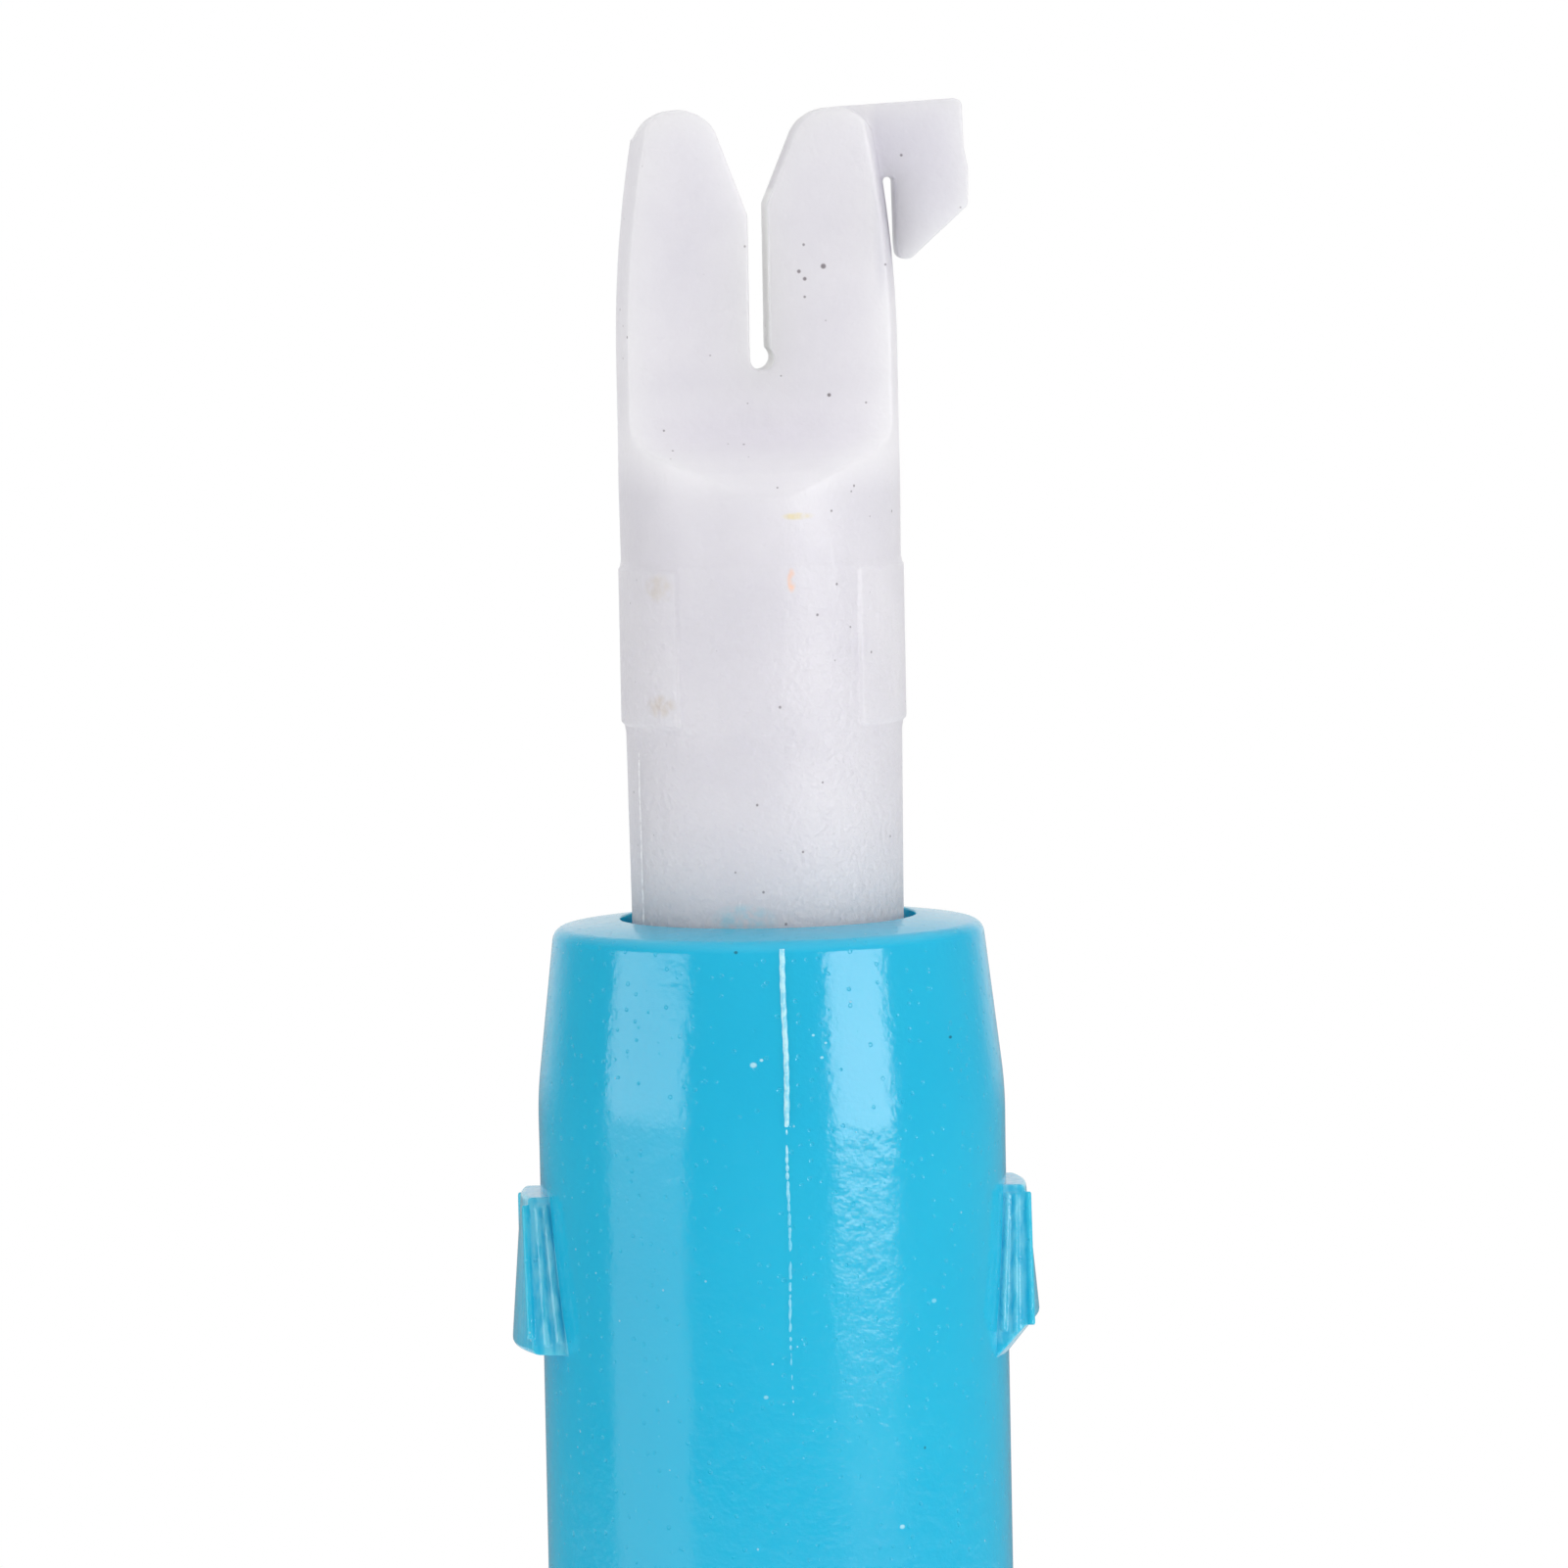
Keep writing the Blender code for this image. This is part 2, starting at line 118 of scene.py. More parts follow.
def done(piece, smooth=None):
    """Leaves edit mode with faces pointing outwards and, if asked, smooth up to an angle in degrees."""
    bpy.ops.mesh.select_mode(type="FACE")
    bpy.ops.mesh.select_all(action="SELECT")
    bpy.ops.mesh.remove_doubles(threshold=WELD)
    bpy.ops.mesh.normals_make_consistent(inside=False)
    bpy.ops.object.mode_set(mode="OBJECT")
    if smooth is not None:
        bpy.ops.object.shade_smooth_by_angle(angle=math.radians(smooth))
    return piece


def filleted(corners, closed=True, steps=6):
    """Corners given as (across, height, fillet radius) in mm, each rounded by its arc."""
    points = []
    for i, (across, height, radius) in enumerate(corners):
        here = Vector((across, height))
        if radius <= 0 or (not closed and i in (0, len(corners) - 1)):
            points.append(here)
            continue
        before = (Vector(corners[i - 1][:2]) - here).normalized()
        after = (Vector(corners[(i + 1) % len(corners)][:2]) - here).normalized()
        half = before.angle(after) / 2
        centre = here + (before + after).normalized() * radius / math.sin(half)
        start = here + before * radius / math.tan(half) - centre
        end = here + after * radius / math.tan(half) - centre
        sweep = start.angle(end)
        for k in range(steps + 1):
            t = k / steps
            spoke = start * math.sin((1 - t) * sweep) + end * math.sin(t * sweep)
            points.append(centre + spoke / math.sin(sweep))
    return points


def draw(name, points, place):
    """One vertex, extruded from point to point; place() turns (across, height) in mm into metres."""
    deselect()
    bpy.ops.mesh.primitive_plane_add(size=MM, location=(0, 0, 0))
    piece = named(name)
    edit(piece)
    bpy.ops.mesh.merge(type="CENTER")
    bpy.ops.mesh.select_mode(type="VERT")
    bpy.ops.mesh.select_all(action="SELECT")
    at = place(points[0])
    bpy.ops.transform.translate(value=at)
    for point in points[1:]:
        there = place(point)
        bpy.ops.mesh.extrude_region_move(TRANSFORM_OT_translate={"value": there - at})
        at = there
    return piece


def lathe(name, profile, closed=True, steps=160):
    """A profile drawn in the XZ plane and spun once round the tool's axis."""
    points = [*profile, profile[0]] if closed else profile
    piece = draw(name, points, lambda p: Vector((p[0], 0.0, p[1])) * MM)
    bpy.ops.mesh.select_all(action="SELECT")
    bpy.ops.mesh.spin(steps=steps, angle=math.radians(360.0), center=(0, 0, 0), axis=(0, 0, 1))
    return done(piece, 35.0)


def slab(name, outline, thickness):
    """A flat outline in the XZ plane, filled and extruded to a thickness along Y, the axis in its middle."""
    low = -thickness / 2 * MM
    piece = draw(name, [*outline, outline[0]], lambda p: Vector((p[0] * MM, low, p[1] * MM)))
    fill()
    bpy.ops.mesh.extrude_region_move(TRANSFORM_OT_translate={"value": (0, thickness * MM, 0)})
    return done(piece)


def apply(piece, kind, **settings):
    """Adds a modifier with its settings and applies it."""
    modifier = piece.modifiers.new(kind.lower(), kind)
    for key, value in settings.items():
        setattr(modifier, key, value)
    choose(piece)
    bpy.ops.object.modifier_apply(modifier=modifier.name)


def combine(piece, other, operation):
    """A Boolean with another piece, which is used up."""
    apply(piece, "BOOLEAN", operation=operation, object=other, solver="EXACT")
    bpy.data.objects.remove(other)


def smooth_by(piece, angle):
    """Smooth shading, except at edges sharper than an angle in degrees."""
    choose(piece)
    bpy.ops.object.shade_smooth_by_angle(angle=math.radians(angle))


def join(pieces, name):
    """Several pieces made one object."""
    choose(pieces[0])
    for piece in pieces:
        piece.select_set(True)
    bpy.ops.object.join()
    return named(name)


def arc(x, z, radius, start, end, steps):
    """Points from start to end degrees round (x, z), counted from +X towards +Z."""
    turns = [math.radians(start + (end - start) * i / steps) for i in range(steps + 1)]
    return [(x + radius * math.cos(t), z + radius * math.sin(t)) for t in turns]


# ---------------------------------------------------------------- fork core

RAMP_TOP_H = 10.36        # where the milled flats begin to run out
SWELL = 1.5               # the height over which the shank widens to the blade's root
TAPER_START_H = 12.0
TIP_R = 2.49              # the blade's half width at its top
DRAFT = 0.0105            # how much the shank widens per mm towards the fork
ROOT_R = 3.0              # the blade's root
PRONG_TIP_R = 0.92
PRONG_TIP_X = 1.66
SLOT_END_R = 0.26
SLOT_END_H = 11.93
EAR_THICK = 1.3
FLAT_Y = 1.1              # half the blade's thickness, from the axis to each flat
PAD_PROUD = 0.14
PAD_HALF_ANGLE = 50.0
BAND_LOW_H = 4.05         # a faint witness band round the shank
BAND_HIGH_H = 7.62
BAND_PROUD = 0.018
CORE_CUT_H = -2.0         # below this the core is plain turned shank and stem
SHOULDER_H = -20.0
WIDE = 5.6                # wider than any part of the fork
CORE_VOXEL = 0.038        # the grain that rounds the core's edges
CORE_KEPT = 0.22          # the share of the core's faces that is kept


def blade_radius(height):
    """The core's radius above the nose rim: a shank with a little draft, then the blade's taper."""
    shank = SHANK_R + DRAFT * max(0.0, height)
    if height <= RAMP_TOP_H - SWELL:
        return shank + (BAND_PROUD if BAND_LOW_H < height < BAND_HIGH_H else 0.0)
    if height <= RAMP_TOP_H:
        t = (height - RAMP_TOP_H + SWELL) / SWELL
        return shank + (ROOT_R - shank) * t * t * (3 - 2 * t)
    if height <= TAPER_START_H:
        return ROOT_R
    share = (height - TAPER_START_H) / (BLADE_TOP_H - TAPER_START_H)
    return ROOT_R - (ROOT_R - TIP_R) * share ** 2


def fork_outline():
    """What the V, the slot, its round end and the rounded prong tips leave of the core, in front view."""
    tip = arc(PRONG_TIP_X, BLADE_TOP_H - PRONG_TIP_R, PRONG_TIP_R, 22.0, 150.0, 22)
    shoulder = (WIDE, tip[0][1] - 0.5)
    end_hole = arc(0.05, SLOT_END_H, SLOT_END_R, 52.0, -180.0, 24)
    right = [shoulder, *tip, (0.22, 15.22), *end_hole]
    left = [(-0.20, 14.95), *[(-x, h) for x, h in reversed([shoulder, *tip])]]
    low = CORE_CUT_H - 1.0
    return [(x, NOSE + h) for x, h in [*right, *left, (-WIDE, low), (WIDE, low)]]


def ear_outline():
    """The side ear: a bridge from the right prong, a hooked end and the slit's straight inner edge."""
    corners = [
        (1.7, 16.5, 0.0),
        (2.5, 15.72, 0.0),
        (2.97, 15.72, 0.04),
        (2.99, 14.42, 0.25),
        (3.02, 13.92, 0.2),
        (3.29, 13.98, 0.2),
        (4.52, 15.08, 0.16),
        (4.54, 15.88, 0.5),
        (4.45, 16.34, 0.5),
        (4.43, BLADE_TOP_H + 0.15, 0.17),
        (1.7, BLADE_TOP_H + 0.01, 0.0),
    ]
    return [(x, NOSE + h) for x, h in filleted(corners)]


def relief(side):
    """What is milled away from one face of the blade: above the ramp's rounded run-out on to the shank."""
    far = 4.2
    top = BLADE_TOP_H + 1.0
    half_length = 5.0
    foot = [(FLAT_Y, 0.34), (1.12, 0.14), (1.2, -0.03), (1.38, -0.18), (1.75, -0.36), (2.2, -0.54)]
    foot += [(2.62, -0.8), (2.86, -1.06), (3.0, -1.33), (3.2, -1.88), (far, -4.0)]
    outline = [(FLAT_Y, top), *[(y, RAMP_TOP_H + h) for y, h in foot], (far, top)]
    block = draw("relief", [*outline, outline[0]],
                 lambda p: Vector((-half_length, side * p[0], NOSE + p[1])) * MM)
    fill()
    bpy.ops.mesh.extrude_region_move(TRANSFORM_OT_translate={"value": (2 * half_length * MM, 0, 0)})
    return done(block)


def sector(name, profile, half_angle, steps, facing):
    """A profile in mm spun through twice half_angle, its middle facing a direction in degrees from +X."""
    start = math.radians(facing + half_angle)
    out = Vector((math.cos(start), math.sin(start), 0.0))
    piece = draw(name, [*profile, profile[0]], lambda p: (out * p[0] + Vector((0.0, 0.0, p[1]))) * MM)
    fill()
    bpy.ops.mesh.spin(steps=steps, angle=math.radians(2 * half_angle), center=(0, 0, 0), axis=(0, 0, 1))
    return done(piece)


def make_pad(facing):
    """A raised pad on one side of the shank."""
    inner = SHANK_R - 0.5
    outer = SHANK_R + PAD_PROUD
    low = NOSE + PAD_LOW_H
    high = NOSE + PAD_HIGH_H
    profile = [(inner, high), (outer, high), (outer, low), (inner, low)]
    return sector("pad", profile, PAD_HALF_ANGLE, 48, facing)


def make_core():
    """The forked core: turned, milled flat, cut to the fork's outline, then given its ear and side pads."""
    step = 0.01           # the height of the witness band's edges
    foot = RAMP_TOP_H - SWELL
    heights = [CORE_CUT_H - 0.5, 0.0, BAND_LOW_H, BAND_LOW_H + step, BAND_HIGH_H - step, BAND_HIGH_H]
    heights += [foot + SWELL * i / 6 for i in range(7)]
    heights += [TAPER_START_H + (BLADE_TOP_H - TAPER_START_H) * i / 12 for i in range(13)]
    side = [(blade_radius(h), NOSE + h) for h in reversed(heights)]
    profile = [(0.0, NOSE + BLADE_TOP_H), *side, (0.0, NOSE + heights[0])]
    core = lathe("fork_core_moulding", profile, closed=False, steps=192)
    for face in (-1, 1):
        combine(core, relief(face), "DIFFERENCE")
    combine(core, slab("fork_guide", fork_outline(), 14.0), "INTERSECT")
    combine(core, slab("ear", ear_outline(), EAR_THICK), "UNION")
    for facing in (0.0, 180.0):
        combine(core, make_pad(facing), "UNION")
    apply(core, "REMESH", mode="VOXEL", voxel_size=CORE_VOXEL * MM)
    apply(core, "SMOOTH", factor=0.5, iterations=4)
    apply(core, "DECIMATE", ratio=CORE_KEPT)
    return finish_core(core)


def finish_core(core):
    """Closes the blade's foot inside the sleeve, where the turned shank, shoulder and stem take over."""
    cut = (NOSE + CORE_CUT_H) * MM
    edit(core)
    bpy.ops.mesh.bisect(plane_co=(0, 0, cut), plane_no=(0, 0, 1), use_fill=True, clear_inner=True)
    done(core)
    top = NOSE + CORE_CUT_H + 0.3
    radius = SHANK_R - 0.02
    corners = [
        (0.0, top, 0.0),
        (radius, top, 0.1),
        (radius, NOSE + SHOULDER_H, 0.25),
        (STEM_R, NOSE + SHOULDER_H, 0.1),
        (STEM_R, STEM_END, 0.3),
        (0.0, STEM_END, 0.0),
    ]
    lower = lathe("stem", filleted(corners, closed=False), closed=False, steps=128)
    core = join([core, lower], "fork_core_moulding")
    smooth_by(core, 60.0)
    return core


# ---------------------------------------------------------------- sleeve

COUNTERBORE_R = 3.87      # the wider bore at the rear that holds the bush
COUNTERBORE_DEPTH = 7.45
GROOVE_R = 4.37           # the snap ring's groove, and its two sides' heights above the rear end
GROOVE_LOW = 1.2
GROOVE_HIGH = 2.3
CONE_LENGTH = 3.75
LUG_TOP_H = -5.82
LUG_ENDS_H = {1: (-8.6, -9.42), -1: (-9.08, -9.12)}   # each lug's widest point and its low end
LUG_WALL_LEAN = math.atan2(1.03, 3.85)
LUG_WALL_TOP = 1.13       # half a lug's width at its top
LUG_VOXEL = 0.028
LUG_KEPT = 0.35
RIB_R = 0.085
# each rib: distance from the axis and height above the nose rim, at its top and at its foot
RIBS = ((4.94, -6.0, 4.72, -8.85), (5.10, -6.0, 4.99, -8.9), (5.37, -5.98, 5.34, -8.75))
STRIP_THICK = 0.02        # the flash's and the seams' own thickness
FLASH_TOP_H = -0.32
FLASH_LOW_H = -15.0
FLASH_HALF_WIDTH = 0.055
FLASH_PROUD = 0.045
SEAM_TOP_H = 3.7
SEAM_LOW_H = -2.0
SEAM_HALF_WIDTH = 0.035
SEAM_PROUD = 0.03


def sleeve_radius(height):
    """The sleeve's outer radius, from the height above the nose rim."""
    nose_r = 4.59
    cone_foot_r = 5.015
    return min(TOOL_R, nose_r - (cone_foot_r - nose_r) * height / CONE_LENGTH)


def make_sleeve():
    """A conical nose, a plain barrel, a bore with a counterbore and a groove, and two finger lugs."""
    corners = [
        (BORE_R, NOSE, 0.04),
        (4.60, NOSE - 0.19, 0.3),
        (5.01, NOSE - CONE_LENGTH, 9.0),
        (TOOL_R, NOSE - 5.0, 0.0),
        (TOOL_R, SLEEVE_REAR, 0.35),
        (COUNTERBORE_R, SLEEVE_REAR, 0.1),
        (COUNTERBORE_R, SLEEVE_REAR + GROOVE_LOW, 0.0),
        (GROOVE_R, SLEEVE_REAR + GROOVE_LOW, 0.0),
        (GROOVE_R, SLEEVE_REAR + GROOVE_HIGH, 0.0),
        (COUNTERBORE_R, SLEEVE_REAR + GROOVE_HIGH, 0.0),
        (COUNTERBORE_R, SLEEVE_REAR + COUNTERBORE_DEPTH, 0.0),
        (BORE_R, SLEEVE_REAR + COUNTERBORE_DEPTH, 0.0),
    ]
    sleeve = lathe("sleeve_moulding", filleted(corners), steps=192)
    for side in (1, -1):
        combine(sleeve, make_lug(side), "UNION")
    smooth_by(sleeve, 30.0)
    return sleeve


def lug_wedge(side):
    """The block that gives a lug its two straight side walls, which spread towards the rear."""
    middle = Vector((side * 6.0, 0.0, NOSE + LUG_TOP_H)) * MM
    deselect()
    bpy.ops.mesh.primitive_cube_add(size=8 * MM, location=middle)
    wedge = bpy.context.object
    edit(wedge)
    for hand in (1, -1):
        bpy.ops.mesh.select_all(action="SELECT")
        across = Vector((0.0, hand * math.cos(LUG_WALL_LEAN), math.sin(LUG_WALL_LEAN)))
        at = Vector((0.0, hand * LUG_WALL_TOP, NOSE + LUG_TOP_H)) * MM
        bpy.ops.mesh.bisect(plane_co=at, plane_no=across, use_fill=True, clear_outer=True)
    done(wedge)
    bpy.ops.object.transform_apply(location=True, rotation=True, scale=True)
    return wedge


def bead(start, end, radius):
    """A round rib between two points in mm."""
    along = Vector(end) - Vector(start)
    deselect()
    bpy.ops.mesh.primitive_cylinder_add(vertices=12, radius=radius * MM, depth=along.length * MM)
    rib = bpy.context.object
    rib.rotation_mode = "QUATERNION"
    rib.rotation_quaternion = along.to_track_quat("Z", "Y")
    rib.location = (Vector(start) + Vector(end)) / 2 * MM
    bpy.ops.object.transform_apply(location=True, rotation=True, scale=True)
    return rib


def wall_y(height):
    """Half a lug's width at a height above the nose rim."""
    return LUG_WALL_TOP + (LUG_TOP_H - height) * math.tan(LUG_WALL_LEAN)


def make_lug(side):
    """A finger lug: it thickens and spreads towards the rear, with fine ribs standing on its side walls."""
    inner = 4.3           # inside the sleeve's wall
    sunk = 0.03           # how deep a rib's middle lies in the wall
    top = NOSE + LUG_TOP_H
    knee, low = [NOSE + height for height in LUG_ENDS_H[side]]
    corners = [(inner, top, 0.0), (5.42, top, 0.08), (5.67, knee, 0.12), (5.0, low, 0.05), (inner, low, 0.0)]
    lug = lathe("lug", filleted(corners, steps=4), steps=128)
    combine(lug, lug_wedge(side), "INTERSECT")
    parts = [lug]
    for hand in (1, -1):
        for x0, h0, x1, h1 in RIBS:
            ends = [(side * x, hand * (wall_y(h) - sunk), NOSE + h) for x, h in ((x0, h0), (x1, h1))]
            parts.append(bead(*ends, RIB_R))
    lug = join(parts, "lug")
    apply(lug, "REMESH", mode="VOXEL", voxel_size=LUG_VOXEL * MM)
    apply(lug, "SMOOTH", factor=0.5, iterations=5)
    apply(lug, "DECIMATE", ratio=LUG_KEPT)
    edit(lug)
    return done(lug)


def thickened(piece):
    """Turns an open strip into a thin closed solid."""
    apply(piece, "SOLIDIFY", thickness=STRIP_THICK * MM, offset=0.0)
    edit(piece)
    return done(piece, 60.0)


def strip(name, rows):
    """A flat strip to be shaped: X runs across it from -0.5 to 0.5 mm, and Y along it."""
    deselect()
    bpy.ops.mesh.primitive_grid_add(x_subdivisions=4, y_subdivisions=rows, size=MM)
    return named(name)


def make_flash(name):
    """The parting line's raised flash: proud and even at the nose, then thinner and broken lower down."""
    piece = strip(name, 420)
    for v in piece.data.vertices:
        across = 2 * v.co.x / MM
        along = 0.5 - v.co.y / MM
        h = FLASH_TOP_H + (FLASH_LOW_H - FLASH_TOP_H) * along
        long_breaks = math.sin(h * 8.7 + 2.0 * math.sin(h * 3.3))
        short_breaks = math.sin(h * 23.0 + 3.0 * math.sin(h * 5.1))
        broken = 0.5 + 0.5 * short_breaks * long_breaks
        fade = max(0.0, 1.0 - along * 1.05)
        strength = 0.9 if along < 0.25 else fade * (0.3 + 0.6 * broken)
        ends = min(1.0, along * 30.0, (1.0 - along) * 10.0)
        width = FLASH_HALF_WIDTH * (0.6 + 0.4 * strength)
        crown = (1.0 - across ** 2) * FLASH_PROUD * strength * ends
        radius = sleeve_radius(h) - STRIP_THICK + crown
        wander = 0.015 * math.sin(h * 1.7) + 0.004 * math.sin(h * 19.0)
        x = across * width + wander
        v.co = Vector((x, -math.sqrt(radius ** 2 - x ** 2), NOSE + h)) * MM
    return thickened(piece)


def make_core_seam(name, facing):
    """A hairline of flash up one flank of the shank."""
    turn = math.radians(facing)
    out = Vector((math.cos(turn), math.sin(turn), 0.0))
    sideways = Vector((-math.sin(turn), math.cos(turn), 0.0))
    piece = strip(name, 220)
    for v in piece.data.vertices:
        across = 2 * v.co.x / MM
        along = 0.5 - v.co.y / MM
        h = SEAM_TOP_H + (SEAM_LOW_H - SEAM_TOP_H) * along
        broken = 0.6 + 0.4 * math.sin(h * 23.0) * math.sin(h * 9.1 + 1.0)
        crown = (1.0 - across ** 2) * SEAM_PROUD * broken * min(1.0, along * 20.0)
        radius = blade_radius(h) - 0.8 * STRIP_THICK + crown
        spread = across * SEAM_HALF_WIDTH + 0.01 * math.sin(h * 4.0)
        v.co = (out * radius + sideways * spread + Vector((0, 0, NOSE + h))) * MM
    return thickened(piece)


# ---------------------------------------------------------------- handle, cap, pin and the hidden pieces

GRIP_GROOVES = 7
GROOVE_PITCH = 2.4
GROOVE_DEPTH = 0.3
STEM_HOLE_R = 2.05
RING_HOLE_R = 2.02        # the bush's and the washer's, free on the stem
PLUG_HOLE_R = 3.0
PLUG_HOLE_DEPTH = 7.3
PIN_HOLE_R = 0.85


def make_handle():
    """A barrel with grip grooves, a hole for the stem, a wider one for the end cap and a cross hole."""
    corners = [(STEM_HOLE_R, HANDLE_TOP, 0.1), (TOOL_R, HANDLE_TOP, 0.35)]
    bottom = TOOL_R - GROOVE_DEPTH
    for i in reversed(range(GRIP_GROOVES)):
        low = HANDLE_LOW + 6.0 + GROOVE_PITCH * i
        corners += [(TOOL_R, low + 1.0, 0.12), (bottom, low + 0.72, 0.2), (bottom, low + 0.28, 0.2)]
        corners.append((TOOL_R, low, 0.12))
    inner_end = HANDLE_LOW + PLUG_HOLE_DEPTH
    corners += [(TOOL_R, HANDLE_LOW, 0.12), (PLUG_HOLE_R, HANDLE_LOW, 0.08)]
    corners += [(PLUG_HOLE_R, inner_end, 0.0), (STEM_HOLE_R, inner_end, 0.0)]
    handle = lathe("handle_moulding", filleted(corners, steps=4), steps=160)
    deselect()
    low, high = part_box("handle_pin")
    bpy.ops.mesh.primitive_cylinder_add(vertices=64, radius=PIN_HOLE_R * MM, depth=12 * MM,
                                        location=(0, 0, (low.z + high.z) / 2), rotation=(0, math.pi / 2, 0))
    combine(handle, bpy.context.object, "DIFFERENCE")
    smooth_by(handle, 30.0)
    return handle


def make_pin():
    """A cross pin with domed ends."""
    low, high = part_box("handle_pin")
    half = high.x / MM
    radius = 0.75
    corners = [(0.0, half, 0.0), (radius, half, 0.14), (radius, -half, 0.14), (0.0, -half, 0.0)]
    pin = lathe("handle_pin_dowel", filleted(corners, closed=False), closed=False, steps=48)
    edit(pin)
    bpy.ops.transform.rotate(value=math.pi / 2, orient_axis="Y", center_override=(0, 0, 0))
    bpy.ops.transform.translate(value=(0, 0, (low.z + high.z) / 2))
    return done(pin, 35.0)


def make_end_cap():
    """A disc with a rounded rim, and a plug that goes up the handle."""
    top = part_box("end_cap")[1].z / MM
    plug_r = 2.85
    disc = 1.5
    corners = [(0.0, top, 0.0), (plug_r, top, 0.35), (plug_r, disc, 0.08)]
    corners += [(TOOL_R, disc, 0.12), (TOOL_R, 0.0, 0.35), (0.0, 0.0, 0.0)]
    return lathe("end_cap_moulding", filleted(corners, closed=False), closed=False, steps=160)


def ring_piece(name, node, inner, fillet):
    """A bush or washer with rounded edges, of a CAD node's size."""
    low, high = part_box(node)
    outer = high.x / MM
    bottom = low.z / MM
    top = high.z / MM
    corners = [(outer, top, fillet), (outer, bottom, fillet), (inner, bottom, fillet), (inner, top, fillet)]
    return lathe(name, filleted(corners, steps=4), steps=96)


def make_snap_ring():
    """A snap ring of rounded square wire, with a gap at the back."""
    low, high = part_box("bush_snap_ring")
    inner = 3.37
    outer = 4.22
    bottom = low.z / MM
    top = high.z / MM
    corners = [(outer, top, 0.1), (outer, bottom, 0.1), (inner, bottom, 0.1), (inner, top, 0.1)]
    ring = sector("snap_ring_wire", filleted(corners, steps=3), 155.0, 96, -90.0)
    smooth_by(ring, 40.0)
    return ring


def make_spring():
    """Round wire, with a closed turn at each end."""
    low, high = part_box("return_spring")
    wire = 0.2
    turns = 9
    per_turn = 40
    bottom = low.z / MM + wire
    top = high.z / MM - wire
    mean = high.x / MM - wire
    dead = 2.2 * wire
    curve = bpy.data.curves.new("spring_wire", "CURVE")
    curve.dimensions = "3D"
    curve.bevel_depth = wire * MM
    curve.bevel_resolution = 4
    curve.use_fill_caps = True
    spline = curve.splines.new("POLY")
    spline.points.add(turns * per_turn)
    for i, point in enumerate(spline.points):
        turn = i / per_turn
        if turn < 1:
            z = bottom + dead * turn
        elif turn > turns - 1:
            z = top - dead * (turns - turn)
        else:
            z = bottom + dead + (top - bottom - 2 * dead) * (turn - 1) / (turns - 2)
        a = turn * 2 * math.pi
        point.co = (mean * math.cos(a) * MM, mean * math.sin(a) * MM, z * MM, 1.0)
    spring = bpy.data.objects.new("return_spring_wire", curve)
    bpy.context.scene.collection.objects.link(spring)
    choose(spring)
    bpy.ops.object.convert(target="MESH")
    spring = bpy.context.object
    edit(spring)
    return done(spring, 50.0)


# ---------------------------------------------------------------- materials

def linear(code):
    """An sRGB hex colour as linear RGBA."""
    values = [int(code[i:i + 2], 16) / 255 for i in (0, 2, 4)]
    return (*[v / 12.92 if v <= 0.04045 else ((v + 0.055) / 1.055) ** 2.4 for v in values], 1.0)


def add(tree, kind, inputs, out=0, **fields):
    """Adds a node. Its inputs, in order or by key, are values, or outputs to link; None leaves one as it is.
    The fields are its own settings, and out is the output to return."""
    node = tree.nodes.new("ShaderNode" + kind)
    for key, value in fields.items():
        setattr(node, key, value)
    for key, value in inputs.items() if isinstance(inputs, dict) else enumerate(inputs):
        if isinstance(value, bpy.types.NodeSocket):
            tree.links.new(value, node.inputs[key])
        elif value is not None:
            node.inputs[key].default_value = value
    return node.outputs[out]


def new_material(name, **values):
    made = bpy.data.materials.new(name)
    made.use_nodes = True
    tree = made.node_tree
    shader = tree.nodes["Principled BSDF"]
    for key, value in values.items():
        shader.inputs[key.replace("_", " ")].default_value = value
    return made, tree, shader


def per_mm(size):
    """A texture scale whose pattern repeats about every size mm."""
    return 1.0 / (size * MM)


def cloud(tree, coords, size, detail=2.0):
    """Uneven patches about size mm across."""
    return add(tree, "TexNoise", {"Vector": coords, "Scale": per_mm(size), "Detail": detail})


def specks(tree, coords, spacing, radius, kept):
    """Small round spots through the plastic, 1 inside a spot; kept is the share of cells with one."""
    cells = add(tree, "TexVoronoi", {"Vector": coords, "Scale": per_mm(spacing)}, "Distance")
    spot = add(tree, "MapRange", (cells, radius / spacing * 0.6, radius / spacing, 1.0, 0.0))
    lots = add(tree, "SeparateColor", (cells.node.outputs["Color"],))
    chosen = add(tree, "Math", (lots, kept), operation="LESS_THAN")
    return add(tree, "Math", (spot, chosen), operation="MULTIPLY")


def mark(tree, coords, centre, size):
    """1 at a point in mm, falling to 0 at an ellipsoid of the given half sizes round it."""
    offset = add(tree, "VectorMath", (coords, Vector(centre) * MM), operation="SUBTRACT")
    scaled = add(tree, "VectorMath", (offset, [1.0 / (r * MM) for r in size]), operation="MULTIPLY")
    length = add(tree, "VectorMath", (scaled,), "Value", operation="LENGTH")
    return add(tree, "MapRange", (length, 0.55, 1.0, 1.0, 0.0))


def region(tree, *sides):
    """The product of several sides' shares, each a measure, two places in mm and the share at each place."""
    total = None
    for measure, start, end, at_start, at_end in sides:
        share = add(tree, "MapRange", (measure, start * MM, end * MM, at_start, at_end))
        total = share if total is None else add(tree, "Math", (total, share), operation="MULTIPLY")
    return total


def tinted(tree, colour, *layers):
    """A colour under layers of others, each laid on where its mask says, at a strength."""
    for mask, strength, tint in layers:
        if strength != 1.0:
            mask = add(tree, "Math", (mask, strength), operation="MULTIPLY")
        colour = add(tree, "Mix", {0: mask, 6: colour, 7: tint}, 2, data_type="RGBA")
    return colour


